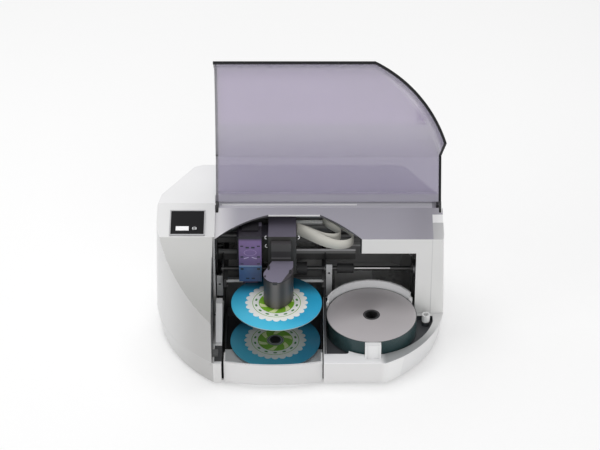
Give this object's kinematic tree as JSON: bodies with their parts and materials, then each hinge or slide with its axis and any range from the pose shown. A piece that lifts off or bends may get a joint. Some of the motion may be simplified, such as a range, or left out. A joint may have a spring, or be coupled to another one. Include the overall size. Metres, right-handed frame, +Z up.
{
  "type": "disc label printer",
  "caption": "Desktop disc printer with a tilting smoked lid, a carriage with a disc picker and ink cartridge, a disc bin, an output drawer and a sliding print tray.",
  "frame": {"origin": "on the resting plane under the middle of the part at rest, with the lid open", "axes": "X to the right, Y from the front to the back, Z up; the front faces -Y"},
  "size_m": [0.386, 0.276, 0.3876],
  "materials": {
    "white_shell": "satin",
    "grey_trim": "satin",
    "pale_trim": "satin",
    "foot_rubber": "matte",
    "screw_steel": "satin",
    "black_plastic": "matte",
    "smoked_lid": "polished",
    "sheet_metal": "satin",
    "rod_chrome": "polished",
    "disc_printed": "glossy",
    "disc_blank": "glossy",
    "mechanism_grey": "satin",
    "motor_case": "satin",
    "roller_rubber": "matte",
    "belt_rubber": "matte",
    "cartridge_shell": "glossy",
    "ribbon_film": "satin",
    "strip_film": "satin",
    "guide_plastic": "satin",
    "label_silver": "satin",
    "label_black": "glossy",
    "button_white": "glossy",
    "lens_clear": "glossy",
    "board_green": "satin"
  },
  "bodies": {
    "case": {"upper_housing": "white_shell", "base_tray": "white_shell", "rubber_feet": "foot_rubber", "case_screws": "screw_steel", "rear_panel": "sheet_metal", "power_inlet": "black_plastic", "usb_port": "sheet_metal", "hinge_brackets": "black_plastic", "hinge_pins": "screw_steel", "drawer_runners": "guide_plastic", "disc_stack": "disc_blank", "bin_pan": "grey_trim", "bin_back_wall": "pale_trim", "bin_end_posts": "white_shell", "bin_front_post": "white_shell", "bin_partition": "pale_trim", "left_guide": "pale_trim", "lid_bumper": "pale_trim", "left_bracket": "sheet_metal", "right_bracket": "sheet_metal", "printer_frame": "sheet_metal", "shaft_bearings": "pale_trim", "feed_motor": "motor_case", "tray_rails": "guide_plastic", "carriage_frame": "sheet_metal", "guide_rod": "rod_chrome", "encoder_strip": "strip_film", "drive_belt": "belt_rubber", "carriage_motor": "motor_case", "pulley_holders": "sheet_metal", "ribbon_cable": "ribbon_film", "label_frame": "label_silver", "label_plate": "label_black", "status_lens": "lens_clear", "control_board": "board_green"},
    "lid": {"lid_shell": "smoked_lid", "hinge_arms": "black_plastic"},
    "drawer": {"drawer_front": "white_shell", "drawer_tray": "black_plastic", "drawer_disc": "disc_printed"},
    "tray": {"printer_tray": "black_plastic"},
    "feed": {"feed_shaft": "rod_chrome", "feed_rollers": "roller_rubber", "shaft_sleeve": "roller_rubber"},
    "carriage": {"carriage_body": "mechanism_grey", "carriage_bushings": "black_plastic", "belt_clamp": "black_plastic", "ink_cartridge": "cartridge_shell", "cartridge_latch": "mechanism_grey", "lift_motor": "motor_case"},
    "idler": {"idler_pulley": "pale_trim"},
    "drive": {"motor_pulley": "pale_trim"},
    "lift": {"picker_arm": "mechanism_grey", "gripper_hub": "black_plastic", "held_disc": "disc_printed"},
    "pinion": {"lift_pinion": "pale_trim"},
    "finger_1": {"gripper_finger_1": "pale_trim"},
    "finger_2": {"gripper_finger_2": "pale_trim"},
    "finger_3": {"gripper_finger_3": "pale_trim"},
    "button": {"power_button": "button_white"}
  },
  "joints": [
    {"name": "lid_hinge", "type": "hinge", "parent": "case", "child": "lid", "pos_m": [0, 0.036, 0.172], "axis": [1, 0, 0], "range_deg": [0, 131]},
    {"name": "drawer_slide", "type": "slide", "parent": "case", "child": "drawer", "axis": [0, -1, 0], "range_m": [0, 0.11]},
    {"name": "tray_slide", "type": "slide", "parent": "case", "child": "tray", "axis": [0, -1, 0], "range_m": [0, 0.122]},
    {"name": "feed_shaft_spin", "type": "hinge", "parent": "case", "child": "feed", "pos_m": [0, 0.016, 0.0818], "axis": [1, 0, 0], "range_deg": [-806, 2]},
    {"name": "carriage_slide", "type": "slide", "parent": "case", "child": "carriage", "axis": [1, 0, 0], "range_m": [-0.014, 0.126], "deforming": ["ribbon_cable"]},
    {"name": "idler_spin", "type": "hinge", "parent": "case", "child": "idler", "pos_m": [-0.103, 0.048, 0.13], "axis": [0, 0, 1], "range_deg": [-148, 1315]},
    {"name": "motor_pulley_spin", "type": "hinge", "parent": "case", "child": "drive", "pos_m": [0.142, 0.048, 0.13], "axis": [0, 0, 1], "range_deg": [-148, 1315]},
    {"name": "lift_slide", "type": "slide", "parent": "carriage", "child": "lift", "axis": [0, 0, -1], "range_m": [0, 0.018]},
    {"name": "lift_pinion_spin", "type": "hinge", "parent": "carriage", "child": "pinion", "pos_m": [-0.025, -0.0083, 0.112], "axis": [1, 0, 0], "range_deg": [-1, 208]},
    {"name": "gripper_slide_1", "type": "slide", "parent": "lift", "child": "finger_1", "axis": [0, 1, 0], "range_m": [-0.0018, 0]},
    {"name": "gripper_slide_2", "type": "slide", "parent": "lift", "child": "finger_2", "axis": [-0.866, -0.5, 0], "range_m": [-0.0018, 0]},
    {"name": "gripper_slide_3", "type": "slide", "parent": "lift", "child": "finger_3", "axis": [0.866, -0.5, 0], "range_m": [-0.0018, 0]},
    {"name": "button_press", "type": "slide", "parent": "case", "child": "button", "axis": [0, 0.2202, -0.9755], "range_m": [0, 0.0008], "stiffness_N_per_m": 150, "springref_m": -0.002}
  ],
  "couplings": [
    {"joint": "feed_shaft_spin", "follows": "tray_slide", "rad_per_m": -114.94},
    {"joint": "idler_spin", "follows": "carriage_slide", "rad_per_m": 181.82},
    {"joint": "motor_pulley_spin", "follows": "carriage_slide", "rad_per_m": 181.82},
    {"joint": "lift_pinion_spin", "follows": "lift_slide", "rad_per_m": 200},
    {"joint": "gripper_slide_2", "follows": "gripper_slide_1", "ratio": 1},
    {"joint": "gripper_slide_3", "follows": "gripper_slide_1", "ratio": 1}
  ]
}
